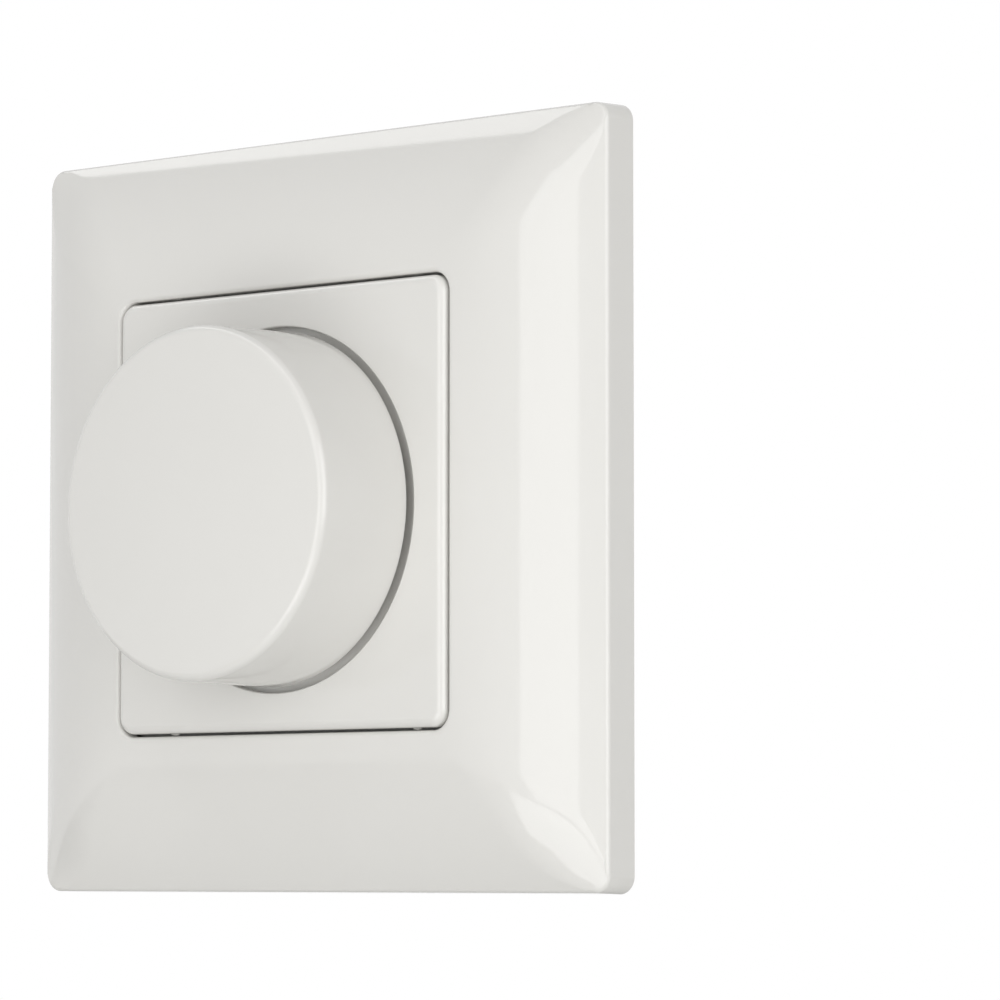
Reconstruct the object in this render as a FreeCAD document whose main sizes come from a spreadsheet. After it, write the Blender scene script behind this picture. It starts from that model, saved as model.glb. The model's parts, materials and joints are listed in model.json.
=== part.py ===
# Rotary dimmer switch with a push-and-turn knob, for mounting flat on a wall.
# Millimetres. +X is right and +Z is up as the switch hangs. The wall is the plane Y = 0 and the
# front faces -Y. The origin is on the wall behind the middle of the knob. Every size named as a
# front, rear or level is a height above the wall, so it lies at Y = -height.
import FreeCAD, Part
import math
import os
import re
import Sketcher

Vector = FreeCAD.Vector
TINY = 1e-6
CLOSE = 0.01

# Driving dimensions, each written once. They fill the spreadsheet, and everything is bound to it.
driving = {
    # outer frame
    "frame_size": 86.0,
    "frame_edge": 4.1,
    "frame_wall": 1.8,
    "frame_corner": 2.0,
    "frame_inner_corner": 0.6,
    "frame_rounding": 0.7,
    "mitre_rounding": 6.0,
    "window_rounding": 0.5,
    "wall_draft": 2.0,
    "snap_reach": 0.8,
    "snap_width": 9.0,
    "snap_height": 0.6,
    "snap_offset": 22.0,
    "snap_gap": 0.1,
    # centre plate
    "plate_border": 3.85,
    "plate_gap": 0.3,
    "plate_lift": 0.5,
    "plate_skirt_depth": 1.55,
    "plate_wall": 1.6,
    "plate_corner": 2.0,
    "plate_rounding": 0.8,
    "plate_skirt": 1.2,
    "recess_gap": 1.0,
    "recess_depth": 1.3,
    "recess_wall": 1.3,
    "recess_chamfer": 0.2,
    # base tray and its pod
    "tray_floor": 1.2,
    "tray_gap": 0.3,
    "tray_corner": 1.5,
    "flange_width": 2.4,
    "flange_step": 1.2,
    "flange_rear": 1.0,
    "flange_thickness": 1.2,
    "pod_inset": 0.85,
    "pod_extra": 3.65,
    "pod_wall": 1.4,
    "pod_corner": 1.5,
    "boss_inset_across": 5.5,
    "boss_inset_up": 5.3,
    "boss_diameter": 4.0,
    "boss_foot_diameter": 6.4,
    "pilot_diameter": 1.7,
    "pilot_depth": 4.4,
    "wall_hole_reach": 6.0,
    "wall_hole_diameter": 4.4,
    "wall_hole_sink": 0.9,
    "wall_pad_diameter": 11.0,
    "wall_pad_height": 1.2,
    "mouth_gap": 0.4,
    # front cover
    "cover_gap": 0.05,
    "cover_thickness": 1.0,
    "cover_hole_gap": 0.2,
    "cover_tab_width": 8.0,
    "cover_tab_depth": 1.2,
    "cover_tab_thickness": 1.0,
    "cover_tab_gap": 0.15,
    "cover_tab_offset": 12.0,
    # cover screws
    "screw_diameter": 1.6,
    "screw_head_diameter": 3.6,
    "screw_head_height": 0.8,
    "screw_length": 4.6,
    "screw_gap": 0.15,
    "screw_slot_width": 0.5,
    "screw_slot_length": 2.0,
    "screw_slot_depth": 0.5,
    # circuit board and what stands on it
    "board_gap": 0.5,
    "board_corner": 1.0,
    "board_rear": 1.9,
    "board_thickness": 1.0,
    "board_hole_gap": 0.15,
    "chip_size": 5.0,
    "chip_height": 0.85,
    "chip_across": -9.0,
    "chip_up": 15.5,
    "crystal_length": 3.2,
    "crystal_width": 2.5,
    "crystal_height": 0.7,
    "crystal_across": -1.5,
    "crystal_up": 17.0,
    # coin cell, its holder and its contacts
    "cell_diameter": 20.0,
    "cell_thickness": 3.2,
    "cell_step_width": 1.2,
    "cell_step_height": 0.2,
    "cell_chamfer": 0.25,
    "cell_rear": 3.35,
    "holder_height": 3.2,
    "holder_side": 1.5,
    "holder_top": 0.5,
    "holder_gap": 0.2,
    "holder_clearance": 0.15,
    "holder_length": 16.0,
    "contact_thickness": 0.2,
    "contact_width": 4.0,
    "contact_reach": 6.0,
    "contact_flat": 4.0,
    "contact_ramp": 1.0,
    "contact_slot": 0.7,
    "contact_gap": 0.05,
    # rotary encoder
    "encoder_wall": 0.8,
    "encoder_corner": 0.8,
    "encoder_floor": 0.6,
    "encoder_depth": 3.0,
    "ledge_width": 0.7,
    "ledge_rise": 1.1,
    "well_gap": 0.2,
    "well_wall": 0.7,
    "well_rise": 0.75,
    "rotor_gap": 0.2,
    "rotor_thickness": 0.5,
    "rotor_lift": 0.05,
    "notch_count": 15,
    "notch_size": 0.7,
    "notch_depth": 0.17,
    "notch_inset": 0.65,
    "detent_thickness": 0.2,
    "detent_width": 0.9,
    "detent_tongue": 1.4,
    "spring_gap": 0.1,
    "bushing_wall": 0.5,
    "bushing_reach": 0.45,
    "bushing_chamfer": 0.3,
    "running_gap": 0.05,
    "terminal_width": 0.8,
    "terminal_thickness": 0.3,
    "terminal_reach": 1.1,
    "terminal_pitch": 2.5,
    "terminal_tail": 0.45,
    "terminal_hole": 1.2,
    # washer and nut on the bushing
    "washer_width": 2.0,
    "washer_thickness": 0.5,
    "nut_wall": 1.5,
    "nut_thickness": 1.8,
    "nut_chamfer": 0.5,
    "thread_gap": 0.03,
    # shaft
    "shaft_diameter": 6.0,
    "shaft_setback": 0.7,
    "shaft_chamfer": 0.5,
    "shaft_flat": 1.5,
    "shaft_flat_margin": 0.3,
    "collar_width": 0.8,
    "collar_thickness": 0.25,
    "collar_gap": 0.6,
    "drive_step": 0.8,
    "drive_flat_depth": 0.6,
    "drive_gap": 0.05,
    # push switch
    "push_travel": 0.4,
    "dome_side_gap": 0.3,
    "dome_height": 0.45,
    "dome_thickness": 0.1,
    "plunger_side_gap": 0.15,
    "plunger_thickness": 0.45,
    "plunger_gap": 0.05,
    # knob
    "knob_diameter": 40.0,
    "knob_gap": 0.3,
    "knob_height": 14.45,
    "dome_rise": 1.1,
    "knob_draft": 0.3,
    "knob_rounding": 1.0,
    "knob_rim_chamfer": 0.2,
    "knob_wall": 3.0,
    "knob_bore_draft": 0.3,
    "knob_cap": 2.6,
    "skirt_step": 1.5,
    "skirt_clearance": 0.6,
    "hub_wall": 2.0,
    "hub_clearance": 0.7,
    "hub_gap": 0.03,
    "hub_slit": 0.8,
    "hub_slit_length": 4.5,
    "rib_count": 6,
    "rib_thickness": 1.2,
    "rib_height": 3.5,
    "clip_thickness": 0.4,
    "clip_width": 3.0,
    "clip_setback": 0.6,
    "clip_opening": 5.0,
    # how far joined features run into each other, and how far a cut runs past its part
    "overlap": 0.2,
    "overcut": 1.0,
}

# Sizes that follow from the driving ones, written in their names.
derived = {
    # outer frame
    "frame_half": "frame_size / 2",
    "frame_depth": "plate_front - plate_lift",
    "window_half": "plate_size / 2 + plate_gap",
    "crown_run": "frame_half - window_half",
    "crown_rise": "frame_depth - frame_edge",
    "crown_radius": "(crown_run ^ 2 + crown_rise ^ 2) / (2 * crown_rise)",
    "cavity_half": "frame_half - frame_wall",
    "cavity_radius": "crown_radius - frame_wall",
    "cavity_edge": "frame_depth - crown_radius + sqrt(cavity_radius ^ 2 - (cavity_half - window_half) ^ 2)",
    "snap_rear": "flange_rear - snap_gap - snap_height",
    # centre plate
    "recess_diameter": "knob_diameter + 2 * recess_gap",
    "plate_size": "recess_diameter + 2 * plate_border",
    "plate_rear": "cover_front + plate_skirt_depth",
    "plate_front": "plate_rear + plate_wall",
    "recess_floor": "plate_front - recess_depth",
    # base tray, pod and cover
    "tray_half": "cavity_half - tray_gap",
    "pod_width": "plate_size - 2 * pod_inset",
    "pod_height": "plate_size + 2 * pod_extra",
    "cover_rear": "cell_front + cover_gap",
    "pod_front": "cover_rear",
    "pod_inner_half": "pod_width / 2 - pod_wall",
    "boss_across": "pod_width / 2 - boss_inset_across",
    "boss_up": "pod_height / 2 - boss_inset_up",
    "wall_hole_spacing": "pod_width + 2 * wall_hole_reach",
    "mouth_width": "cell_diameter + 2 * mouth_gap",
    "mouth_rear": "cell_rear - contact_gap",
    "cover_front": "cover_rear + cover_thickness",
    "screw_hole_diameter": "screw_diameter + 2 * screw_gap",
    # circuit board
    "board_width": "pod_width - 2 * (pod_wall + board_gap)",
    "board_height": "pod_height - 2 * (pod_wall + board_gap)",
    "board_front": "board_rear + board_thickness",
    "holder_front": "board_front + holder_height",
    "holder_rise": "-terminal_line - terminal_thickness / 2 - holder_clearance",
    "cell_drop": "holder_top + holder_gap + cell_diameter / 2 - holder_rise",
    "cell_front": "cell_rear + cell_thickness",
    # encoder, from its shaft outwards
    "collar_diameter": "shaft_diameter + 2 * collar_width",
    "spring_bore": "collar_diameter + 2 * collar_gap",
    "spring_size": "spring_bore + 2 * detent_width",
    "encoder_bore": "spring_size + 2 * spring_gap",
    "encoder_size": "encoder_bore + 2 * encoder_wall",
    "ledge_bore": "encoder_bore - 2 * ledge_width",
    "rotor_diameter": "encoder_bore - 2 * rotor_gap",
    "notch_circle": "rotor_diameter / 2 - notch_inset",
    "drive_diameter": "shaft_diameter - 2 * drive_step",
    "drive_flats": "drive_diameter - 2 * drive_flat_depth",
    "well_bore": "drive_diameter + 2 * well_gap",
    "dome_diameter": "well_bore - 2 * dome_side_gap",
    "plunger_diameter": "well_bore - 2 * plunger_side_gap",
    "terminal_line": "encoder_size / 2 + terminal_reach",
    "encoder_front": "board_front + encoder_depth",
    "encoder_well": "board_front + encoder_floor",
    "rotor_rear": "encoder_well + ledge_rise + rotor_lift",
    "rotor_front": "rotor_rear + rotor_thickness",
    "plunger_rear": "encoder_well + dome_height + plunger_gap",
    "plunger_front": "plunger_rear + plunger_thickness",
    "shaft_rear": "plunger_front + plunger_gap",
    "collar_front": "encoder_front - running_gap",
    "collar_rear": "collar_front - collar_thickness",
    # bushing, washer and nut
    "bushing_diameter": "shaft_diameter + 2 * bushing_wall",
    "bushing_front": "nut_front + bushing_reach",
    "bushing_hole_diameter": "bushing_diameter + 2 * cover_hole_gap",
    "washer_diameter": "bushing_diameter + 2 * washer_width",
    "washer_front": "recess_floor + washer_thickness",
    "nut_flats": "bushing_diameter + 2 * nut_wall",
    "nut_front": "washer_front + nut_thickness",
    # knob
    "knob_half": "knob_diameter / 2",
    "knob_rear": "plate_front + knob_gap",
    "knob_front": "knob_rear + knob_height",
    "knob_shoulder": "knob_front - dome_rise",
    "knob_ceiling": "knob_front - knob_cap",
    "knob_bore": "knob_diameter - 2 * knob_wall",
    "skirt_diameter": "knob_diameter - 2 * skirt_step",
    "skirt_rear": "recess_floor + skirt_clearance",
    "hub_diameter": "shaft_diameter + 2 * hub_wall",
    "hub_rear": "bushing_front + push_travel + hub_clearance",
    "shaft_front": "knob_ceiling - shaft_setback",
    "shaft_flat_rear": "hub_rear - shaft_flat_margin",
    "dome_half": "knob_half - knob_draft",
    "knob_dome_radius": "(dome_half ^ 2 + dome_rise ^ 2) / (2 * dome_rise)",
    "dome_centre": "knob_front - knob_dome_radius",
    # the round shoulder leaves the wall at its level and runs into the dome at its end
    "round_across": "dome_half - knob_rounding",
    "round_level": "dome_centre + sqrt((knob_dome_radius - knob_rounding) ^ 2 - round_across ^ 2)",
    "round_ratio": "knob_dome_radius / (knob_dome_radius - knob_rounding)",
    "round_end": "round_across * round_ratio",
    "round_end_level": "dome_centre + (round_level - dome_centre) * round_ratio",
}

document = FreeCAD.newDocument("rotary_dimmer")
sizes = document.addObject("Spreadsheet::Sheet", "Sizes")
for row, (alias, number) in enumerate(driving.items(), 1):
    sizes.set("A%d" % row, alias)
    sizes.set("B%d" % row, str(number))
    sizes.setAlias("B%d" % row, alias)
document.recompute()


def formula(text):
    """The expression for a size written in its names."""
    def swap(match):
        word = match.group(0)
        if word in driving:
            return "Sizes." + word
        if word in derived:
            return "(" + formula(derived[word]) + ")"
        return word
    return re.sub(r"[A-Za-z_]\w*", swap, text)


def value(text):
    """The present number of a size written in its names."""
    return float(sizes.evalExpression(formula(text)))


def minus(text):
    return "-(" + text + ")"


def distances(geometry, point, across, up):
    """Constraints that hold a point of a sketch at a named distance from both axes."""
    held = []
    for kind, axis, text in (("DistanceX", -2, across), ("DistanceY", -1, up)):
        number = value(text)
        if abs(number) < TINY:
            held.append((Sketcher.Constraint("PointOnObject", geometry, point, axis), None))
        elif number > 0:
            held.append((Sketcher.Constraint(kind, -1, 1, geometry, point, number), text))
        else:
            held.append((Sketcher.Constraint(kind, geometry, point, -1, 1, -number), minus(text)))
    return held


def constrain(sketch, held):
    """Adds all the constraints at once and binds those that have a size."""
    numbers = sketch.addConstraint([constraint for constraint, text in held])
    for number, (constraint, text) in zip(numbers, held):
        if text:
            sketch.setExpression("Constraints[%d]" % number, formula(text))


def outline(sketch, corners):
    """A closed outline. A corner with a third entry starts an arc of that radius, which turns left
    as it is drawn, or right if the text has a minus sign."""
    places = [Vector(value(corner[0]), value(corner[1]), 0) for corner in corners]
    shapes, ends, held = [], [], []
    first_number = sketch.GeometryCount
    for index, corner in enumerate(corners):
        here = places[index]
        there = places[(index + 1) % len(corners)]
        number = first_number + index
        if len(corner) == 2:
            shapes.append(Part.LineSegment(here, there))
            ends.append((number, 1, 2))
            continue
        turn = -1 if corner[2].startswith("-") else 1
        radius_text = corner[2].lstrip("-")
        radius = value(radius_text)
        chord = there - here
        rise = math.sqrt(max(radius ** 2 - (chord.Length / 2) ** 2, 0.0))
        left = Vector(-chord.y, chord.x, 0).normalize()
        centre = (here + there) * 0.5 + left * rise * turn
        first, last = (here, there) if turn > 0 else (there, here)
        start = math.atan2(first.y - centre.y, first.x - centre.x)
        end = math.atan2(last.y - centre.y, last.x - centre.x)
        shapes.append(Part.ArcOfCircle(Part.Circle(centre, Vector(0, 0, 1), radius), start, end))
        held.append((Sketcher.Constraint("Radius", number, radius), radius_text))
        ends.append((number, 1, 2) if turn > 0 else (number, 2, 1))
    for index, (number, start, end) in enumerate(ends):
        following = ends[(index + 1) % len(ends)]
        held.append((Sketcher.Constraint("Coincident", number, end, following[0], following[1]), None))
        held += distances(number, start, corners[index][0], corners[index][1])
    sketch.addGeometry(shapes, False)
    constrain(sketch, held)


def circle(sketch, diameter, across="0", up="0"):
    centre = Vector(value(across), value(up), 0)
    number = sketch.addGeometry(Part.Circle(centre, Vector(0, 0, 1), value(diameter) / 2), False)
    round_size = (Sketcher.Constraint("Diameter", number, value(diameter)), diameter)
    constrain(sketch, distances(number, 3, across, up) + [round_size])


def rectangle(sketch, left, right, low, high):
    outline(sketch, [(left, low), (right, low), (right, high), (left, high)])


def rounded(sketch, half_across, half_up, corner):
    """A rectangle about the origin with round corners."""
    across = half_across + " - (" + corner + ")"
    up = half_up + " - (" + corner + ")"
    outline(sketch, [
        (minus(across), minus(half_up)), (across, minus(half_up), corner),
        (half_across, minus(up)), (half_across, up, corner),
        (across, half_up), (minus(across), half_up, corner),
        (minus(half_across), up), (minus(half_across), minus(up), corner)])


def add_body(label):
    body = document.addObject("PartDesign::Body", label)
    body.Label = label
    return body


def add_sketch(body, name, role="XZ_Plane", level="0"):
    """A sketch in a plane of its body's own origin, at a named distance along its normal."""
    sketch = body.newObject("Sketcher::SketchObject", name)
    plane = next(item for item in body.Origin.OriginFeatures if item.Role == role)
    sketch.AttachmentSupport = [(plane, "")]
    sketch.MapMode = "FlatFace"
    sketch.setExpression("AttachmentOffset.Base.z", formula(level))
    return sketch


def pad(body, sketch, length, taper=None):
    """Material from the sketch towards the room."""
    feature = body.newObject("PartDesign::Pad", sketch.Name + "_pad")
    feature.Profile = sketch
    feature.setExpression("Length", formula(length))
    if taper:
        feature.setExpression("TaperAngle", formula(taper))
    document.recompute()
    return feature


def pocket(body, sketch, length, both_ways=False):
    """A cut from the sketch towards the wall, or both ways through."""
    feature = body.newObject("PartDesign::Pocket", sketch.Name + "_cut")
    feature.Profile = sketch
    feature.setExpression("Length", formula(length))
    if both_ways:
        feature.SideType = "Symmetric"
    document.recompute()
    return feature


def cut_forward(body, sketch, length):
    """A cut from the sketch towards the room."""
    feature = body.newObject("PartDesign::Pocket", sketch.Name + "_cut")
    feature.Profile = sketch
    feature.setExpression("Length", formula(length))
    feature.Reversed = True
    document.recompute()
    return feature


def revolve(body, name, profile, cut=False):
    """A turned form about the knob's axis. The profile lists radius and height above the wall."""
    sketch = add_sketch(body, name, "XY_Plane")
    outline(sketch, [(corner[0], minus(corner[1])) + tuple(corner[2:]) for corner in profile])
    kind = "PartDesign::Groove" if cut else "PartDesign::Revolution"
    feature = body.newObject(kind, name + "_turn")
    feature.Profile = sketch
    feature.ReferenceAxis = (sketch, ["V_Axis"])
    feature.Angle = 360
    document.recompute()
    return feature


def edges_where(feature, test):
    """Names of the edges whose bounding box passes the test."""
    return ["Edge%d" % number for number, edge in enumerate(feature.Shape.Edges, 1) if test(edge.BoundBox)]


def dress(body, kind, feature, edges, size, text):
    """A fillet or chamfer on the given edges."""
    result = body.newObject("PartDesign::" + kind, feature.Name + "_" + kind.lower())
    result.Base = (feature, edges)
    result.setExpression(size, formula(text))
    document.recompute()
    return result


def around(body, feature, count, name):
    """Copies of a feature turned about the knob's axis."""
    pattern = body.newObject("PartDesign::PolarPattern", name)
    pattern.Originals = [feature]
    axis = next(item for item in body.Origin.OriginFeatures if item.Role == "Y_Axis")
    pattern.Axis = (axis, [""])
    pattern.Angle = 360
    pattern.setExpression("Occurrences", formula(count))
    body.Tip = pattern
    document.recompute()
    return pattern


def at_height(box, text):
    """Whether a box lies flat at a named height above the wall."""
    return abs(box.YMin + value(text)) < CLOSE and abs(box.YMax + value(text)) < CLOSE


def crown_cut(body, name, role, edge_half, edge, flat_half, top, radius):
    """Cuts one pair of the pillow's four arched sides, right across the frame."""
    sketch = add_sketch(body, name, role)
    outside = "frame_half + overcut"
    above = "frame_depth + overcut"
    arc = radius if role == "XY_Plane" else "-" + radius
    profile = [
        (minus(outside), above), (minus(outside), edge),
        (minus(edge_half), edge, arc), (minus(flat_half), top),
        (flat_half, top, arc), (edge_half, edge),
        (outside, edge), (outside, above)]
    if role == "XY_Plane":
        corners = [(corner[0], minus(corner[1])) + tuple(corner[2:]) for corner in profile]
    else:
        corners = [(minus(corner[1]), corner[0]) + tuple(corner[2:]) for corner in profile]
    outline(sketch, corners)
    return pocket(body, sketch, "frame_size + 2 * overcut", both_ways=True)


def make_frame():
    """The outer frame: a pillow of four arched sides that meet in softened mitres, hollow behind."""
    shell = add_body("frame_shell")
    plan = add_sketch(shell, "frame_plan")
    rounded(plan, "frame_half", "frame_half", "frame_corner")
    pad(shell, plan, "frame_depth", taper="-wall_draft")
    for name, role in (("crown_across", "XY_Plane"), ("crown_up", "YZ_Plane")):
        crown_cut(shell, name, role, "frame_half", "frame_edge", "window_half", "frame_depth", "crown_radius")
    crowned = shell.Tip
    mitres = edges_where(crowned, lambda box: abs(box.XLength - box.ZLength) < CLOSE
                         and box.XLength > value("crown_run / 2"))
    dress(shell, "Fillet", crowned, mitres, "Radius", "mitre_rounding")
    window = add_sketch(shell, "frame_window", level="frame_depth + overcut")
    rounded(window, "window_half", "window_half", "plate_corner + plate_gap")
    opened = pocket(shell, window, "frame_depth + 2 * overcut")
    reach = value("frame_half - frame_corner")
    middle = value("frame_edge / 2")
    outer = edges_where(opened, lambda box: max(abs(box.Center.x), abs(box.Center.z)) > reach
                        and box.YMax < -middle)
    blended = dress(shell, "Fillet", opened, outer, "Radius", "frame_rounding")
    inner = edges_where(blended, lambda box: at_height(box, "frame_depth")
                        and max(abs(box.Center.x), abs(box.Center.z)) < value("window_half") + TINY)
    dress(shell, "Fillet", blended, inner, "Radius", "window_rounding")

    core = add_body("frame_core")
    core_plan = add_sketch(core, "core_plan", level="-overcut")
    rounded(core_plan, "cavity_half", "cavity_half", "frame_inner_corner")
    pad(core, core_plan, "frame_depth - frame_wall + overcut", taper="-wall_draft")
    for name, role in (("core_across", "XY_Plane"), ("core_up", "YZ_Plane")):
        crown_cut(core, name, role, "cavity_half", "cavity_edge", "window_half",
                  "frame_depth - frame_wall", "cavity_radius")

    hollow = document.addObject("Part::Cut", "frame_hollow")
    hollow.Base = shell
    hollow.Tool = core

    ridges = []
    for turn in range(4):
        for side in (-1, 1):
            name = "snap_%d_%s" % (turn + 1, "a" if side < 0 else "b")
            ridge = document.addObject("Part::Wedge", name)
            # a ramp on the wall side of the ridge lets the tray's edge slide past it
            for key, text in (("Xmin", "0"), ("Xmax", "snap_width"), ("X2min", "0"), ("X2max", "snap_width"),
                              ("Ymin", "0"), ("Ymax", "snap_height"), ("Zmin", "0"),
                              ("Zmax", "snap_reach * 2"), ("Z2min", "snap_reach"), ("Z2max", "snap_reach * 2")):
                ridge.setExpression(key, formula(text))
            ridge.Placement = FreeCAD.Placement(Vector(), FreeCAD.Rotation(Vector(0, 1, 0), 90 * turn))
            along = ("-" if side < 0 else "") + "snap_offset - snap_width / 2"
            out = "cavity_half - snap_reach"
            places = [(along, out), (out, minus(along)), (minus(along), minus(out)),
                      (minus(out), along)]
            across, up = places[turn]
            ridge.setExpression("Placement.Base.x", formula(across))
            ridge.setExpression("Placement.Base.y", formula(minus("snap_rear + snap_height")))
            ridge.setExpression("Placement.Base.z", formula(up))
            ridges.append(ridge)
    frame = document.addObject("Part::MultiFuse", "frame")
    frame.Label = "frame"
    frame.Shapes = [hollow] + ridges
    frame.Refine = False
    return frame


def make_centre_plate():
    """The square centre plate with the round well that the knob sinks into."""
    body = add_body("centre_plate")
    face = add_sketch(body, "plate_face", level="plate_rear")
    rounded(face, "plate_size / 2", "plate_size / 2", "plate_corner")
    block = pad(body, face, "plate_wall")
    rim = edges_where(block, lambda box: at_height(box, "plate_front"))
    dress(body, "Fillet", block, rim, "Radius", "plate_rounding")
    skirt = add_sketch(body, "plate_skirt_ring", level="cover_front")
    rounded(skirt, "plate_size / 2", "plate_size / 2", "plate_corner")
    inside = "plate_size / 2 - plate_skirt"
    rounded(skirt, inside, inside, "plate_corner - plate_skirt")
    pad(body, skirt, "plate_rear - cover_front")
    seat = add_sketch(body, "plate_seat", level="cover_front")
    circle(seat, "recess_diameter + 2 * recess_wall")
    pad(body, seat, "plate_rear - cover_front")
    well = add_sketch(body, "plate_well", level="plate_front")
    circle(well, "recess_diameter")
    sunk = pocket(body, well, "recess_depth")
    edge = edges_where(sunk, lambda box: at_height(box, "plate_front")
                       and abs(box.XLength - value("recess_diameter")) < CLOSE)
    dress(body, "Chamfer", sunk, edge, "Size", "recess_chamfer")
    hole = add_sketch(body, "plate_hole", level="recess_floor")
    circle(hole, "bushing_hole_diameter")
    pocket(body, hole, "recess_floor - cover_front + overcut")
    return body


def make_base_tray():
    """The tray screwed to the wall, with the pod that holds the circuit board."""
    body = add_body("base_tray")
    floor = add_sketch(body, "tray_plan")
    rounded(floor, "tray_half - flange_step", "tray_half - flange_step", "tray_corner")
    pad(body, floor, "tray_floor")
    # the frame's snap ridges catch behind this flange
    flange = add_sketch(body, "tray_flange", level="flange_rear")
    rounded(flange, "tray_half", "tray_half", "tray_corner")
    rounded(flange, "tray_half - flange_width", "tray_half - flange_width", "tray_corner")
    pad(body, flange, "flange_thickness")
    walls = add_sketch(body, "pod_walls", level="tray_floor")
    rounded(walls, "pod_width / 2", "pod_height / 2", "pod_corner")
    rounded(walls, "pod_width / 2 - pod_wall", "pod_height / 2 - pod_wall", "pod_corner")
    pad(body, walls, "pod_front - tray_floor")
    mouth = add_sketch(body, "cell_mouth", level="pod_front")
    half = "mouth_width / 2"
    end = minus("pod_height / 2")
    rectangle(mouth, minus(half), half, end + " - overcut", end + " + pod_wall + board_gap")
    pocket(body, mouth, "pod_front - mouth_rear")
    pads = add_sketch(body, "wall_pads", level="tray_floor")
    for side in ("-", ""):
        circle(pads, "wall_pad_diameter", across=side + "wall_hole_spacing / 2")
    pad(body, pads, "wall_pad_height")
    holes = add_sketch(body, "wall_holes", level="tray_floor + wall_pad_height")
    for side in ("-", ""):
        circle(holes, "wall_hole_diameter", across=side + "wall_hole_spacing / 2")
    drilled = pocket(body, holes, "tray_floor + wall_pad_height + overcut")
    lips = edges_where(drilled, lambda box: at_height(box, "tray_floor + wall_pad_height")
                       and abs(box.XLength - value("wall_hole_diameter")) < CLOSE)
    dress(body, "Chamfer", drilled, lips, "Size", "wall_hole_sink")
    for name, diameter, top in (("boss_feet", "boss_foot_diameter", "board_rear"),
                                ("boss_posts", "boss_diameter", "pod_front")):
        bosses = add_sketch(body, name, level="tray_floor - overlap")
        for across, up in boss_places():
            circle(bosses, diameter, across, up)
        pad(body, bosses, top + " - tray_floor + overlap")
    pilots = add_sketch(body, "boss_pilots", level="pod_front")
    for across, up in boss_places():
        circle(pilots, "pilot_diameter", across, up)
    pocket(body, pilots, "pilot_depth")
    return body


def boss_places():
    """Where the four cover screws stand."""
    return [(across + "boss_across", up + "boss_up") for across in ("-", "") for up in ("-", "")]


def make_front_cover():
    """The lid of the pod, which carries the encoder's bushing and the centre plate."""
    body = add_body("front_cover")
    lid = add_sketch(body, "lid_plan", level="cover_rear")
    rounded(lid, "pod_width / 2", "pod_height / 2", "pod_corner")
    pad(body, lid, "cover_thickness")
    tabs = add_sketch(body, "lid_tabs", level="cover_rear - cover_tab_depth")
    outer = "pod_inner_half - cover_tab_gap"
    inner = outer + " - cover_tab_thickness"
    half = "cover_tab_width / 2"
    for up in ("-", ""):
        middle = up + "cover_tab_offset"
        rectangle(tabs, minus(outer), minus(inner), middle + " - " + half, middle + " + " + half)
        rectangle(tabs, inner, outer, middle + " - " + half, middle + " + " + half)
    pad(body, tabs, "cover_tab_depth + overlap")
    bore = add_sketch(body, "lid_bore", level="cover_front")
    circle(bore, "bushing_hole_diameter")
    for across, up in boss_places():
        circle(bore, "screw_hole_diameter", across, up)
    bored = pocket(body, bore, "cover_thickness + overcut")
    lips = edges_where(bored, lambda box: at_height(box, "cover_front")
                       and abs(box.XLength - value("screw_hole_diameter")) < CLOSE)
    sink = "(screw_head_diameter - screw_diameter - screw_gap) / 2"
    dress(body, "Chamfer", bored, lips, "Size", sink)
    return body


def make_cover_screws():
    """Four small countersunk screws that close the pod."""
    for number, (across, up) in enumerate(boss_places(), 1):
        body = add_body("cover_screw_%d" % number)
        top = "cover_front"
        neck = "cover_front - screw_head_height"
        tip = "cover_front - screw_length"
        revolve(body, "screw_%d_profile" % number, [
            ("0", tip), ("screw_diameter / 4", tip), ("screw_diameter / 2", tip + " + screw_diameter / 4"),
            ("screw_diameter / 2", neck), ("screw_head_diameter / 2", top), ("0", top)])
        for turned in (False, True):
            slot = add_sketch(body, "screw_%d_slot_%s" % (number, "up" if turned else "across"), level=top)
            long_half, short_half = "screw_slot_length / 2", "screw_slot_width / 2"
            half_across, half_up = (short_half, long_half) if turned else (long_half, short_half)
            rectangle(slot, minus(half_across), half_across, minus(half_up), half_up)
            pocket(body, slot, "screw_slot_depth")
        body.setExpression("Placement.Base.x", formula(across))
        body.setExpression("Placement.Base.z", formula(up))


def make_circuit_board():
    """The circuit board, which drops over the pod's bosses."""
    body = add_body("circuit_board")
    board = add_sketch(body, "board_plan", level="board_rear")
    rounded(board, "board_width / 2", "board_height / 2", "board_corner")
    for across, up in boss_places():
        circle(board, "boss_diameter + 2 * board_hole_gap", across, up)
    for across, up in terminal_places():
        circle(board, "terminal_hole", across, up)
    pad(body, board, "board_thickness")
    return body


def terminal_places():
    """Three signal pins above the encoder and two switch pins below it."""
    above = [(side + "terminal_pitch", "terminal_line") for side in ("-", "")] + [("0", "terminal_line")]
    below = [(side + "terminal_pitch", minus("terminal_line")) for side in ("-", "")]
    return above + below


def add_block(name, across, rear, up, width, height, depth):
    """A plain block on the board, centred across and up at the given place."""
    block = document.addObject("Part::Box", name)
    block.Label = name
    for key, text in (("Length", width), ("Width", height), ("Height", depth),
                      ("Placement.Base.x", across + " - " + width + " / 2"),
                      ("Placement.Base.y", minus(rear + " + " + height)),
                      ("Placement.Base.z", up + " - " + depth + " / 2")):
        block.setExpression(key, formula(text))
    return block


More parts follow.
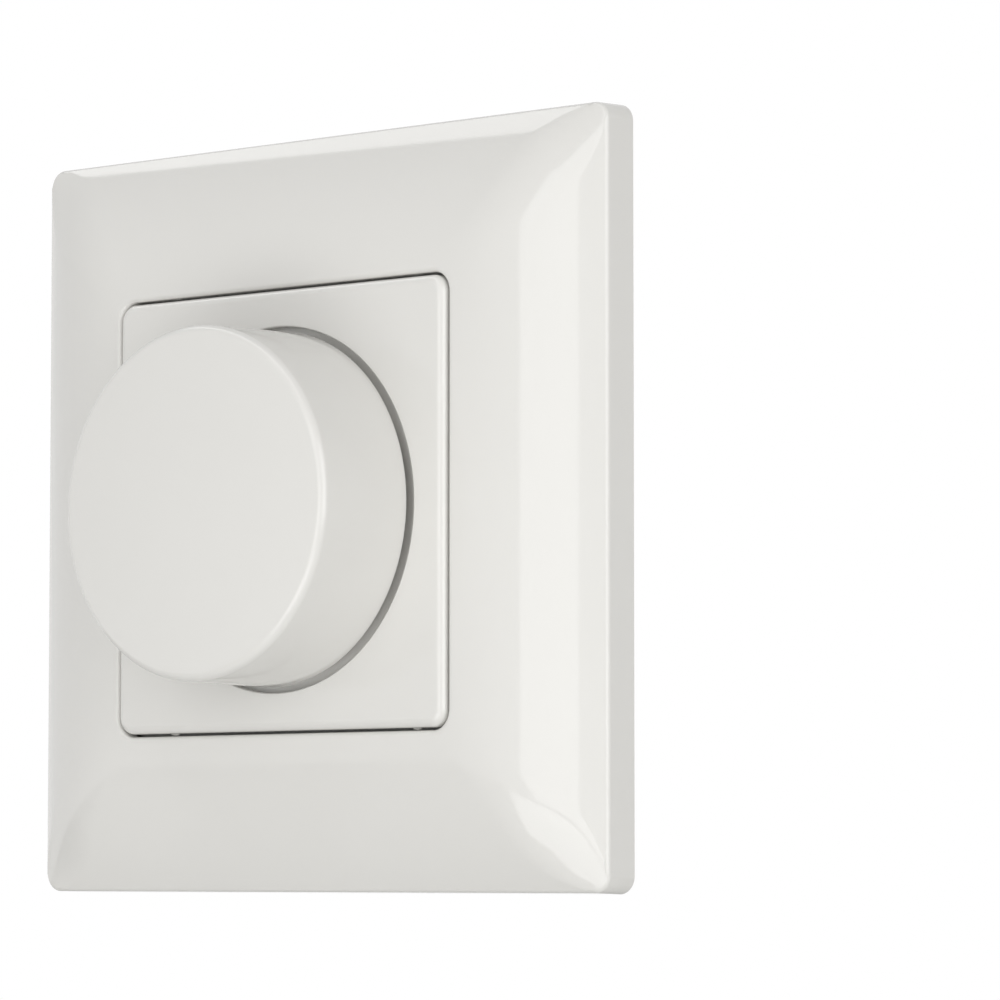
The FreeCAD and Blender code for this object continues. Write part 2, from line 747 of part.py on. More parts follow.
def make_holder():
    """The horseshoe that holds the coin cell, open towards the cell mouth."""
    body = add_body("battery_holder")
    plan = add_sketch(body, "holder_plan", level="board_front")
    way_half = "cell_diameter / 2 + holder_gap"
    side = way_half + " + holder_side"
    low = "holder_rise - holder_length"
    rectangle(plan, minus(side), side, low, "holder_rise")
    pad(body, plan, "holder_height")
    hole = add_sketch(body, "holder_hole", level="holder_front")
    circle(hole, "cell_diameter + 2 * holder_gap", up=minus("cell_drop"))
    pocket(body, hole, "holder_height + overcut")
    way = add_sketch(body, "holder_way", level="holder_front")
    rectangle(way, minus(way_half), way_half, low + " - overcut", minus("cell_drop"))
    pocket(body, way, "holder_height + overcut")
    slot = add_sketch(body, "holder_slot", level="holder_front")
    slot_half = "(contact_width / 2 + contact_gap)"
    rectangle(slot, "cell_diameter / 2", way_half + " + contact_slot",
              minus("cell_drop") + " - " + slot_half, minus("cell_drop") + " + " + slot_half)
    pocket(body, slot, "holder_height + overcut")
    return body


def make_cell():
    """The coin cell, with its smaller cap towards the board."""
    body = add_body("battery_cell")
    half, cap = "cell_diameter / 2", "cell_diameter / 2 - cell_step_width"
    step = "cell_rear + cell_step_height"
    can = revolve(body, "cell_profile", [
        ("0", "cell_rear"), (cap, "cell_rear"), (cap, step),
        (half, step), (half, "cell_front"), ("0", "cell_front")])
    rims = edges_where(can, lambda box: box.YLength < CLOSE
                       and abs(box.XLength - value("cell_diameter")) < CLOSE)
    dress(body, "Chamfer", can, rims, "Size", "cell_chamfer")
    body.setExpression("Placement.Base.z", formula(minus("cell_drop")))
    return body


def make_contacts():
    """The two spring contacts of the coin cell, soldered to the board."""
    spring = add_body("contact_negative")
    bend = add_sketch(spring, "negative_bend", role="YZ_Plane", level="-contact_width / 2")
    rise = "cell_rear - contact_gap - contact_thickness"
    low, high = minus("board_front"), minus("board_front + contact_thickness")
    under, over = minus(rise), minus(rise + " + contact_thickness")
    reaches = ["contact_reach", "(contact_flat / 2 + contact_ramp)", "(contact_flat / 2)"]
    first, second, third = [minus("cell_drop + " + reach) for reach in reaches]
    sixth, fifth, fourth = [minus("cell_drop - " + reach) for reach in reaches]
    outline(bend, [
        (low, first), (low, second), (under, third), (under, fourth), (low, fifth), (low, sixth),
        (high, sixth), (high, fifth), (over, fourth), (over, third), (high, second), (high, first)])
    pad(spring, bend, "contact_width")

    leaf = add_body("contact_positive")
    shape = add_sketch(leaf, "positive_bend", role="XY_Plane", level=minus("cell_drop + contact_width / 2"))
    near = "cell_diameter / 2 + contact_gap"
    far = near + " + contact_thickness"
    foot = "board_front + contact_thickness"
    outer = "cell_diameter / 2 + holder_gap + contact_slot - contact_gap"
    outline(shape, [
        (near, minus("board_front")), (outer, minus("board_front")), (outer, minus(foot)), (far, minus(foot)),
        (far, minus("holder_front")), (near, minus("holder_front"))])
    pad(leaf, shape, "contact_width")
    return spring, leaf


def make_encoder_housing():
    """The encoder's moulded case, with a well for the push switch and a ledge for the rotor."""
    body = add_body("encoder_housing")
    case = add_sketch(body, "case_plan", level="board_front")
    rounded(case, "encoder_size / 2", "encoder_size / 2", "encoder_corner")
    pad(body, case, "encoder_depth")
    for name, diameter, depth in (("case_bore", "encoder_bore", "encoder_depth - encoder_floor - ledge_rise"),
                                  ("case_ledge", "ledge_bore", "encoder_depth - encoder_floor")):
        bore = add_sketch(body, name, level="encoder_front")
        circle(bore, diameter)
        pocket(body, bore, depth)
    well = add_sketch(body, "case_well", level="encoder_well - overlap")
    circle(well, "well_bore + 2 * well_wall")
    circle(well, "well_bore")
    pad(body, well, "well_rise + overlap")
    return body


def make_terminals():
    """Five bent pins, which leave the encoder's foot and pass through the board."""
    for number, (across, up) in enumerate(terminal_places(), 1):
        body = add_body("encoder_terminal_%d" % number)
        bend = add_sketch(body, "pin_%d_bend" % number, role="YZ_Plane", level="-terminal_width / 2")
        outer = "terminal_line + terminal_thickness / 2"
        inner = "terminal_line - terminal_thickness / 2"
        case = "encoder_size / 2"
        low, high = minus("board_front"), minus("board_front + terminal_thickness")
        tail = minus("board_rear - terminal_tail")
        corners = [(high, case), (high, outer), (tail, outer), (tail, inner), (low, inner), (low, case)]
        if up.startswith("-"):
            corners = [(depth, minus(place)) for depth, place in corners]
        outline(bend, corners)
        pad(body, bend, "terminal_width")
        body.setExpression("Placement.Base.x", formula(across))


def make_push_switch():
    """The snap dome and the plunger that the shaft presses on it."""
    dome = add_body("snap_dome")
    rim = "dome_diameter / 2"
    outer_rise, inner_rise = "dome_height", "dome_height - dome_thickness"
    inner_rim = rim + " - dome_thickness"
    outer_radius = "((%s) ^ 2 + (%s) ^ 2) / (2 * (%s))" % (rim, outer_rise, outer_rise)
    inner_radius = "((%s) ^ 2 + (%s) ^ 2) / (2 * (%s))" % (inner_rim, inner_rise, inner_rise)
    revolve(dome, "dome_profile", [
        ("0", "encoder_well + " + inner_rise), ("0", "encoder_well + " + outer_rise, outer_radius),
        (rim, "encoder_well"), (inner_rim, "encoder_well", "-" + inner_radius)])
    plunger = add_body("switch_plunger")
    half = "plunger_diameter / 2"
    revolve(plunger, "plunger_profile", [
        ("0", "plunger_rear"), (half, "plunger_rear"), (half, "plunger_front"), ("0", "plunger_front")])
    return dome, plunger


def make_rotor():
    """The coded disc, which turns with the shaft and lets it slide through."""
    body = add_body("encoder_rotor")
    disc = add_sketch(body, "rotor_plan", level="rotor_rear")
    circle(disc, "rotor_diameter")
    drive_outline(disc, "drive_gap")
    plain = pad(body, disc, "rotor_thickness")
    notch = add_sketch(body, "rotor_notch", level="rotor_front")
    half = "notch_size / 2"
    rectangle(notch, minus(half), half, "notch_circle - " + half, "notch_circle + " + half)
    cut = pocket(body, notch, "notch_depth")
    around(body, cut, "notch_count", "rotor_notches")
    return body


def drive_outline(sketch, gap):
    """The double flat that turns the rotor, as wide as the shaft's plus a gap all round."""
    radius = "drive_diameter / 2 + " + gap
    flat = "drive_flats / 2 + " + gap
    reach = "sqrt((%s) ^ 2 - (%s) ^ 2)" % (radius, flat)
    outline(sketch, [
        (reach, minus(flat), radius), (reach, flat),
        (minus(reach), flat, radius), (minus(reach), minus(flat))])


def make_detent_spring():
    """The flat spring ring whose two tongues click over the rotor's notches."""
    body = add_body("detent_spring")
    ring = add_sketch(body, "detent_ring", level="encoder_front - detent_thickness")
    circle(ring, "spring_size")
    circle(ring, "spring_bore")
    pad(body, ring, "detent_thickness")
    for side in ("-", ""):
        name = "tongue_low" if side else "tongue_high"
        tongue = add_sketch(body, name, level="rotor_front + running_gap")
        middle = side + "((spring_size + spring_bore) / 4)"
        half = "(detent_width / 2 - running_gap)"
        reach = "detent_tongue / 2"
        rectangle(tongue, minus(reach), reach, middle + " - " + half, middle + " + " + half)
        pad(body, tongue, "encoder_front - detent_thickness / 2 - rotor_front - running_gap")
    return body


def make_bushing():
    """The die-cast cover of the encoder with its long threaded nose."""
    body = add_body("encoder_bushing")
    plate = add_sketch(body, "bushing_plan", level="encoder_front")
    rounded(plate, "encoder_size / 2", "encoder_size / 2", "encoder_corner")
    pad(body, plate, "cover_rear - encoder_front")
    nose = add_sketch(body, "bushing_nose", level="cover_rear - overlap")
    circle(nose, "bushing_diameter")
    pad(body, nose, "bushing_front - cover_rear + overlap")
    bore = add_sketch(body, "bushing_bore", level="bushing_front")
    circle(bore, "shaft_diameter + 2 * running_gap")
    bored = pocket(body, bore, "bushing_front - encoder_front + overcut")
    lip = edges_where(bored, lambda box: at_height(box, "bushing_front")
                      and abs(box.XLength - value("bushing_diameter")) < CLOSE)
    dress(body, "Chamfer", bored, lip, "Size", "bushing_chamfer")
    return body


def make_shaft():
    """The shaft: a collar that the bushing holds back, a double flat and a long D for the knob."""
    body = add_body("encoder_shaft")
    half, collar = "shaft_diameter / 2", "collar_diameter / 2"
    revolve(body, "shaft_profile", [
        ("0", "collar_rear"), (collar, "collar_rear"), (collar, "collar_front"),
        (half, "collar_front"), (half, "shaft_front - shaft_chamfer"),
        (half + " - shaft_chamfer", "shaft_front"), ("0", "shaft_front")])
    drive = add_sketch(body, "shaft_drive", level="shaft_rear")
    drive_outline(drive, "0")
    pad(body, drive, "collar_rear - shaft_rear + overlap")
    flat = add_sketch(body, "shaft_flat_cut", level="shaft_front + overcut")
    rectangle(flat, minus(half + " + overcut"), half + " + overcut", "shaft_flat", half + " + overcut")
    pocket(body, flat, "shaft_front + overcut - shaft_flat_rear")
    return body


def make_washer_and_nut():
    """The washer and nut that clamp the centre plate to the cover."""
    washer = add_body("bushing_washer")
    ring = add_sketch(washer, "washer_plan", level="recess_floor")
    circle(ring, "washer_diameter")
    circle(ring, "bushing_hole_diameter")
    pad(washer, ring, "washer_thickness")

    nut = add_body("bushing_nut")
    hexagon = add_sketch(nut, "nut_plan", level="washer_front")
    flat = "nut_flats / 2"
    point = "nut_flats / sqrt(3)"
    outline(hexagon, [
        (point, "0"), (point + " / 2", flat), (minus(point) + " / 2", flat),
        (minus(point), "0"), (minus(point) + " / 2", minus(flat)), (point + " / 2", minus(flat))])
    circle(hexagon, "bushing_diameter + 2 * thread_gap")
    pad(nut, hexagon, "nut_thickness")
    outside, above = point + " + overcut", "nut_front + overcut"
    revolve(nut, "nut_corners", [
        (point + " - nut_chamfer", "nut_front"), (outside, "nut_front - (nut_chamfer + overcut) / 2"),
        (outside, above), (point + " - nut_chamfer", above)], cut=True)
    return washer, nut


def make_knob():
    """The knob: a drafted cup with a low domed front, ribs inside and a split hub on the shaft."""
    body = add_body("knob")
    skirt, bore = "skirt_diameter / 2", "knob_bore / 2"
    cup = revolve(body, "knob_profile", [
        ("0", "knob_ceiling"), (bore + " - knob_bore_draft", "knob_ceiling"), (bore, "skirt_rear"),
        (skirt, "skirt_rear"), (skirt, "knob_rear"), ("knob_half", "knob_rear"),
        ("dome_half", "round_level", "-knob_rounding"),
        ("round_end", "round_end_level", "-knob_dome_radius"), ("0", "knob_front")])
    rim = edges_where(cup, lambda box: at_height(box, "knob_rear")
                      and abs(box.XLength - value("knob_diameter")) < CLOSE)
    dress(body, "Chamfer", cup, rim, "Size", "knob_rim_chamfer")
    hub = add_sketch(body, "knob_hub", level="hub_rear")
    circle(hub, "hub_diameter")
    pad(body, hub, "knob_ceiling - hub_rear + overlap")
    rib = add_sketch(body, "knob_rib", level="knob_ceiling - rib_height")
    half = "rib_thickness / 2"
    rectangle(rib, "hub_diameter / 2 - overlap", bore + " + overlap", minus(half), half)
    one = pad(body, rib, "rib_height + overlap")
    around(body, one, "rib_count", "knob_ribs")
    socket = add_sketch(body, "knob_socket", level="hub_rear")
    radius = "shaft_diameter / 2 + hub_gap"
    flat = "shaft_flat + hub_gap"
    reach = "sqrt((%s) ^ 2 - (%s) ^ 2)" % (radius, flat)
    outline(socket, [(reach, flat), (minus(reach), flat, radius), ("0", minus(radius), radius)])
    cut_forward(body, socket, "shaft_front + hub_gap - hub_rear")
    slit = add_sketch(body, "knob_slit", level="hub_rear")
    reach = "hub_diameter / 2 + overcut"
    rectangle(slit, minus(reach), reach, "-hub_slit / 2", "hub_slit / 2")
    cut_forward(body, slit, "hub_slit_length")
    return body


def make_knob_clip():
    """The open spring band that squeezes the split hub onto the shaft."""
    body = add_body("knob_clip")
    band = add_sketch(body, "clip_plan", level="hub_rear + clip_setback")
    circle(band, "hub_diameter + 2 * hub_gap + 2 * clip_thickness")
    circle(band, "hub_diameter + 2 * hub_gap")
    pad(body, band, "clip_width")
    gap = add_sketch(body, "clip_gap", level="hub_rear + clip_setback + clip_width")
    rectangle(gap, minus("clip_opening / 2"), "clip_opening / 2", "hub_diameter / 4", "hub_diameter")
    pocket(body, gap, "clip_width")
    return body


def make_all():
    make_frame()
    make_centre_plate()
    make_base_tray()
    make_front_cover()
    make_cover_screws()
    make_circuit_board()
    add_block("radio_chip", "chip_across", "board_front", "chip_up", "chip_size", "chip_height", "chip_size")
    add_block("crystal", "crystal_across", "board_front", "crystal_up", "crystal_length", "crystal_height",
              "crystal_width")
    make_holder()
    make_cell()
    make_contacts()
    make_encoder_housing()
    make_terminals()
    make_push_switch()
    make_rotor()
    make_detent_spring()
    make_bushing()
    make_shaft()
    make_washer_and_nut()
    make_knob()
    make_knob_clip()


make_all()
document.recompute()

helpers = ("frame_shell", "frame_core")
bodies = [item for item in document.Objects if item.isDerivedFrom("PartDesign::Body")]
nodes = [body for body in bodies if body.Name not in helpers]
nodes += [document.getObject(name) for name in ("frame", "radio_chip", "crystal")]
for item in document.Objects:
    if "Invalid" in item.State or "Error" in item.State:
        raise RuntimeError("failed feature: " + item.Name)
for node in nodes:
    if node.Shape.isNull() or not node.Shape.isValid() or not node.Shape.Solids:
        raise RuntimeError("bad shape: " + node.Label)

os.makedirs("parts", exist_ok=True)
for node in nodes:
    node.Shape.exportStep("parts/%s.step" % node.Label)
    print("%-20s %d solid, %9.2f mm3" % (node.Label, len(node.Shape.Solids), node.Shape.Volume))
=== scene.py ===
import json
import math

import bmesh
import bpy
from mathutils import Matrix, Vector


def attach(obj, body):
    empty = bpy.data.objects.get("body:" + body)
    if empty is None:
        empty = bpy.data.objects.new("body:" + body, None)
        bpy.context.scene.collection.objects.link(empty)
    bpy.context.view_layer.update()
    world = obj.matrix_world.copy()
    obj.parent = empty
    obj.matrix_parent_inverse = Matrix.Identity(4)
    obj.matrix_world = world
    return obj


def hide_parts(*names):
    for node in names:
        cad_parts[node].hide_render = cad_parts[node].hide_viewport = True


# Rotary dimmer switch: the frame, the plate and the knob are rebuilt smooth over their CAD solids,
# and the hidden works keep their CAD meshes with finishes of their own. Metres, the front faces -Y.

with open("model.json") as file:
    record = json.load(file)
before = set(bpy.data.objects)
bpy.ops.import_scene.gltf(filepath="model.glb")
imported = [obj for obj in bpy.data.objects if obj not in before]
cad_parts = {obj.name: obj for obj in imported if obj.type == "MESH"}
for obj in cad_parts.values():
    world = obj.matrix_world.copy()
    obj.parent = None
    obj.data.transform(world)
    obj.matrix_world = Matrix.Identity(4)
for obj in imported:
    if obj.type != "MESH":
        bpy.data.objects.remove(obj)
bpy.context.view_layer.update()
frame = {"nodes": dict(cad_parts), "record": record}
print("loaded the CAD frame")


class Value:
    # a number in a finish's nodes: plus, minus and times add the Math nodes
    def __init__(self, finish, socket):
        self.finish = finish
        self.socket = socket

    def combine(self, operation, first, second):
        return self.finish.add("ShaderNodeMath", {"operation": operation}, {0: first, 1: second})

    def __add__(self, other):
        return self.combine("ADD", self, other)

    def __radd__(self, other):
        return self.combine("ADD", other, self)

    def __sub__(self, other):
        return self.combine("SUBTRACT", self, other)

    def __rsub__(self, other):
        return self.combine("SUBTRACT", other, self)

    def __mul__(self, other):
        return self.combine("MULTIPLY", self, other)

    def __rmul__(self, other):
        return self.combine("MULTIPLY", other, self)


class Finish:
    # one procedural material, built from its nodes
    def __init__(self, name):
        self.block = bpy.data.materials.new(name)
        self.block.use_nodes = True
        self.tree = self.block.node_tree
        self.tree.nodes.clear()
        shader = self.add("ShaderNodeBsdfPrincipled")
        self.surface = shader.socket.node
        self.add("ShaderNodeOutputMaterial", None, {"Surface": shader}, None)
        self.place = self.add("ShaderNodeTexCoord", None, None, "Object")

    def add(self, kind, settings=None, sockets=None, output=0):
        # a node with its settings, then its sockets' values or links; gives back one of its outputs
        node = self.tree.nodes.new(kind)
        for key, setting in (settings or {}).items():
            setattr(node, key, setting)
        for key, given in (sockets or {}).items():
            self.feed(node.inputs[key], given)
        return None if output is None else Value(self, node.outputs[output])

    def feed(self, socket, given):
        if isinstance(given, Value):
            self.tree.links.new(given.socket, socket)
        elif socket.type == "RGBA" and len(given) == 3:
            socket.default_value = (*given, 1.0)
        else:
            socket.default_value = given

    def noise(self, scale, detail, roughness, stretch=None):
        where = self.place
        if stretch:
            where = self.add("ShaderNodeMapping", {"vector_type": "POINT"},
                             {"Vector": where, "Scale": stretch})
        return self.add("ShaderNodeTexNoise", {"noise_dimensions": "3D"},
                        {"Vector": where, "Scale": scale, "Detail": detail, "Roughness": roughness},
                        "Fac")

    def blend(self, factor, first, second):
        # Mix in colour mode: its colour sockets are 6 and 7, its colour output is 2
        return self.add("ShaderNodeMix", {"data_type": "RGBA"}, {0: factor, 6: first, 7: second}, 2)

    def bump(self, height, strength, distance):
        return self.add("ShaderNodeBump", None,
                        {"Height": height, "Strength": strength, "Distance": distance}, "Normal")

    def set(self, **given):
        for key, setting in given.items():
            self.feed(self.surface.inputs[key.replace("_", " ")], setting)
        return self.block


def darken(colour, share):
    return tuple(channel * share for channel in colour)


# in all looks a noise is (scale, detail, roughness), and a bump is (strength, distance)
glossLook = {
    "colour": (0.735, 0.726, 0.700),
    "shade": (0.718, 0.709, 0.682),
    "cloud": (55.0, 3.0, 0.55),
    "roughness": 0.08,
    "roughnessSwing": 0.03,
    "smear": (220.0, 4.0, 0.6),
    "peel": (1300.0, 2.0, 0.5),
    "peelBump": (0.12, 0.000004),
    "refraction": 1.49,
}


def glossPlastic(name, look):
    # moulded white plastic: faint clouding in the colour, a light orange peel and an uneven polish
    finish = Finish(name)
    cloud = finish.noise(*look["cloud"])
    peel = finish.noise(*look["peel"])
    smear = finish.noise(*look["smear"])
    return finish.set(
        Base_Color=finish.blend(cloud, look["colour"], look["shade"]),
        Roughness=look["roughness"] + (smear - 0.5) * look["roughnessSwing"],
        IOR=look["refraction"],
        Normal=finish.bump(peel, *look["peelBump"]))


mattLook = {
    "grainNoise": (4.0, 0.65),  # detail and roughness; the scale comes with each piece
    "grainStrength": 0.5,
    "patchNoise": (2.0, 0.5),
    "patchSize": 0.04,
    "patchShare": 0.7,
    "darkest": 0.86,
    "roughnessSwing": 0.18,
    "refraction": 1.5,
}


def mattPlastic(name, colour, roughness, grainScale, grainDepth, look=mattLook):
    # textured moulding: a fine even grain that also breaks up the sheen
    finish = Finish(name)
    grain = finish.noise(grainScale, *look["grainNoise"])
    patch = finish.noise(grainScale * look["patchSize"], *look["patchNoise"])
    mottle = patch * look["patchShare"] + grain * (1.0 - look["patchShare"])
    return finish.set(
        Base_Color=finish.blend(mottle, darken(colour, look["darkest"]), colour),
        Roughness=roughness + (grain - 0.5) * look["roughnessSwing"],
        IOR=look["refraction"],
        Normal=finish.bump(grain, look["grainStrength"], grainDepth))


metalLook = {
    "lines": (2600.0, 3.0, 0.6),
    "lineBump": (0.4, 0.000006),
    "cloud": (240.0, 3.0, 0.5),
    "cloudShare": 0.6,
    "darkest": 0.78,
    "roughnessSwing": 0.22,
}


def brushedMetal(name, colour, roughness, stretch, look=metalLook):
    # fine drawn or turned lines along one direction, over a clouded plating
    finish = Finish(name)
    lines = finish.noise(*look["lines"], stretch)
    cloud = finish.noise(*look["cloud"])
    mottle = cloud * look["cloudShare"] + lines * (1.0 - look["cloudShare"])
    return finish.set(
        Base_Color=finish.blend(mottle, darken(colour, look["darkest"]), colour),
        Metallic=1.0,
        Roughness=roughness + (lines - 0.5) * look["roughnessSwing"],
        Normal=finish.bump(lines, *look["lineBump"]))


boardLook = {
    "dark": (0.008, 0.075, 0.022),
    "light": (0.018, 0.150, 0.045),
    "cloud": (120.0, 3.0, 0.5),
    "cloudShare": 0.7,
    "weaveScale": 380.0,
    "weaveDistortion": 0.6,
    "weaveBump": (0.3, 0.000008),
    "roughness": 0.32,
    "roughnessSwing": 0.12,
    "refraction": 1.5,
}


def boardMask(name, look):
    # green solder mask over a faint glass weave
    finish = Finish(name)
    across, upward = (
        finish.add("ShaderNodeTexWave", {"wave_type": "BANDS", "bands_direction": direction},
                   {"Vector": finish.place, "Scale": look["weaveScale"],
                    "Distortion": look["weaveDistortion"]}, "Fac")
        for direction in "XZ")
    weave = across * upward
    cloud = finish.noise(*look["cloud"])
    mottle = cloud * look["cloudShare"] + weave * (1.0 - look["cloudShare"])
    return finish.set(
        Base_Color=finish.blend(mottle, look["dark"], look["light"]),
        Roughness=look["roughness"] + cloud * look["roughnessSwing"],
        IOR=look["refraction"],
        Normal=finish.bump(weave, *look["weaveBump"]))


finishes = {
    "frame": glossPlastic("frame_white", glossLook),
    "centre_plate": glossPlastic("plate_white", glossLook),
    "knob": glossPlastic("knob_white", glossLook),
    "board": boardMask("board_green", boardLook),
    # name, colour, roughness, scale and depth of the grain
    "tray": mattPlastic("tray_grey", (0.50, 0.50, 0.485), 0.55, 2200.0, 0.00001),
    "chip": mattPlastic("chip_black", (0.020, 0.020, 0.022), 0.45, 3200.0, 0.000006),
    "dark_plastic": mattPlastic("holder_black", (0.030, 0.030, 0.033), 0.50, 2600.0, 0.000008),
    "rotor_plastic": mattPlastic("natural_plastic", (0.62, 0.60, 0.53), 0.48, 2400.0, 0.000006),
    # name, colour, roughness, stretch of the lines: they run where it is smallest
    "metal_can": brushedMetal("crystal_can", (0.70, 0.69, 0.67), 0.28, (1.0, 1.0, 0.08)),
    "cell_steel": brushedMetal("cell_steel", (0.66, 0.66, 0.65), 0.25, (0.06, 1.0, 1.0)),
    "spring_steel": brushedMetal("spring_steel", (0.60, 0.60, 0.59), 0.22, (1.0, 1.0, 0.05)),
    "die_cast": brushedMetal("die_cast_zinc", (0.50, 0.50, 0.51), 0.42, (1.0, 1.0, 1.0)),
    "plated_steel": brushedMetal("plated_steel", (0.64, 0.62, 0.58), 0.24, (1.0, 0.08, 1.0)),
    "screw_steel": brushedMetal("screw_zinc", (0.60, 0.59, 0.55), 0.30, (1.0, 0.3, 1.0)),
    "terminal_brass": brushedMetal("tinned_brass", (0.66, 0.60, 0.46), 0.30, (1.0, 0.1, 1.0)),
    "shaft_metal": brushedMetal("turned_aluminium", (0.66, 0.66, 0.67), 0.26, (0.2, 1.0, 0.2)),
}
slotOf = {entry["node"]: entry["material_slot"] for entry in frame["record"]["subparts"]}
for node, piece in frame["nodes"].items():
    piece.data.materials.clear()
    piece.data.materials.append(finishes[slotOf[node]])
print("made the finishes")

quarterTurn = math.radians(90.0)
meshLook = {
    "mergeDistance": 0.0000004,
    "searchDistance": 0.00001,
    "normalWeight": 60,
}


def newObject(name, mesh, material):
    data = bpy.data.meshes.new(name)
    mesh.to_mesh(data)
    mesh.free()
    data.materials.append(material)
    made = bpy.data.objects.new(name, data)
    bpy.context.scene.collection.objects.link(made)
    return made


def newPiece(name, mesh, slot, body, node, smoothAngle):
    # a finished object at the origin that stands for one CAD node
    bmesh.ops.remove_doubles(mesh, verts=mesh.verts, dist=meshLook["mergeDistance"])
    bmesh.ops.recalc_face_normals(mesh, faces=mesh.faces)
    piece = newObject(name, mesh, finishes[slot])
    piece.data.shade_smooth()
    piece.data.set_sharp_from_angle(angle=math.radians(smoothAngle))
    weighted = piece.modifiers.new("face weighted normals", "WEIGHTED_NORMAL")
    weighted.keep_sharp = True
    weighted.weight = meshLook["normalWeight"]
    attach(piece, body)
    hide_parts(node)


def turned(angle):
    return Matrix.Rotation(angle, 4, "Y")


def inOrder(places):
    return sorted(places, key=lambda place: math.atan2(place.z, place.x))


def squareOutline(half, corner, segments, cuts=0):
    # places along a square with round corners; cuts puts that many along each straight side
    straight = half - corner
    steps = [2.0 * step / (cuts + 1) - 1.0 for step in range(1, cuts + 1)]
    angles = [quarterTurn * step / segments for step in range(segments + 1)]
    side = [Vector((half, 0.0, straight * step)) for step in steps]
    side += [Vector((straight + corner * math.cos(angle), 0.0, straight + corner * math.sin(angle)))
             for angle in angles]
    return inOrder([turned(quarterTurn * turn) @ place for turn in range(4) for place in side])


def circleOutline(radius, count):
    angles = [math.tau * (index + 0.5) / count for index in range(count)]
    return inOrder([Vector((radius * math.cos(angle), 0.0, radius * math.sin(angle)))
                    for angle in angles])


def lift(places, height):
    return [Vector((place.x, -height, place.z)) for place in places]


def startRing(mesh, places):
    # a closed line of points for the surface to grow from
    ring = [mesh.verts.new(place) for place in places]
    for pair in zip(ring[1:] + ring[:1], ring):
        mesh.edges.new(pair)
    return ring


def ringEdges(ring):
    members = set(ring)
    found = (edge for vert in ring for edge in vert.link_edges if edge.other_vert(vert) in members)
    return list(dict.fromkeys(found))


def grow(mesh, ring, *outlines):
    # extrudes a ring through the outlines one by one; each point goes to its own place in them
    for places in outlines:
        made = bmesh.ops.extrude_edge_only(mesh, edges=ringEdges(ring))["geom"]
        fresh = {item for item in made if isinstance(item, bmesh.types.BMVert)}
        ring = [next(edge.other_vert(vert) for edge in vert.link_edges
                     if edge.other_vert(vert) in fresh) for vert in ring]
        for vert, place in zip(ring, places):
            vert.co = place
    return ring


def roundOver(half, corner, top, radius, steps, segments, cuts=0):
    # outlines from a square's side up over its rounded edge; a window's edge has a negative radius
    outlines = []
    for step in range(steps + 1):
        angle = quarterTurn * step / steps
        shift = radius * (1.0 - math.cos(angle))
        places = squareOutline(half - shift, corner - shift, segments, cuts)
        outlines.append(lift(places, top - abs(radius) * (1.0 - math.sin(angle))))
    return outlines


def soften(mesh, ring, offset, segments):
    # the bevel reads the face normals, which new faces lack
    mesh.normal_update()
    bmesh.ops.bevel(mesh, geom=ringEdges(ring), offset=offset, offset_type="OFFSET",
                    segments=segments, profile=0.5, affect="EDGES", clamp_overlap=False,
                    material=-1)


def addPrism(mesh, section, start, end, place):
    # a closed prism: a section drawn at one end along X, extruded to the other, then placed
    face = mesh.faces.new([mesh.verts.new((start, y, z)) for y, z in section])
    made = bmesh.ops.extrude_face_region(mesh, geom=[face])["geom"]
    far = [item for item in made if isinstance(item, bmesh.types.BMVert)]
    bmesh.ops.translate(mesh, verts=far, vec=(end - start, 0.0, 0.0))
    bmesh.ops.transform(mesh, verts=[*face.verts, *far], matrix=place)


frameLook = {
    "half": 0.043,
    "edgeHeight": 0.0041,
    "depth": 0.01025,
    "windowHalf": 0.02515,
    "wall": 0.0018,
    "draft": 2.0,
    "corner": 0.002,
    "windowCorner": 0.0023,
    "innerCorner": 0.0007,
    "cornerSegments": 26,
    "sideCuts": 60,
    "crownSteps": 44,
    "hollowSteps": 6,
    "mitreRound": 0.0079,
    "mitreStart": 2.1,
    "mitreEnd": 7.3,
    "edgeRound": 0.00036,
    "windowRound": 0.0005,
    "roundSegments": 6,
    "ridgeOffset": 0.022,
    "ridgeWidth": 0.009,
    "ridgeReach": 0.0008,
    "ridgeRear": 0.0003,
    "ridgeFront": 0.0009,
    "smoothAngle": 18.0,
}


def archDrop(across, look, wall=0.0):
    # how far an arched side lies below the frame's inner edge, at a distance from the middle
    run = look["half"] - look["windowHalf"]
    rise = look["depth"] - look["edgeHeight"]
    radius = (run ** 2 + rise ** 2) / (2.0 * rise)
    beyond = max(across - look["windowHalf"], 0.0)
    return radius - math.sqrt((radius - wall) ** 2 - beyond ** 2)


def crownOutline(part, outer, look):
    # a level outline of the crown, from the window at 0 to the rim at 1
    # its corner's radius grows on the way and shrinks again, which rounds the mitre
    inner = look["windowHalf"] + look["windowRound"]
    innerCorner = look["windowCorner"] + look["windowRound"]
    across = inner + (outer - inner) * part
    corner = innerCorner + (look["corner"] - innerCorner) * part
    corner += look["mitreRound"] * part ** look["mitreStart"] * (1.0 - part ** look["mitreEnd"])
    places = squareOutline(across, corner, look["cornerSegments"], look["sideCuts"])
    return lift(places, look["depth"] - archDrop(across, look))


def addRidges(mesh, look):
    # eight snap ridges on the inside of the wall, each with a ramp towards the wall plane
    rear, front = -look["ridgeRear"], -look["ridgeFront"]
    inside = look["half"] - look["wall"]
    root, tip = inside + look["ridgeReach"], inside - look["ridgeReach"]
    section = [(rear, root), (rear, inside), (front, tip), (front, root)]
    for turn in range(4):
        for middle in (-look["ridgeOffset"], look["ridgeOffset"]):
            start, end = (middle + side * look["ridgeWidth"] / 2.0 for side in (-1, 1))
            addPrism(mesh, section, start, end, turned(quarterTurn * turn))


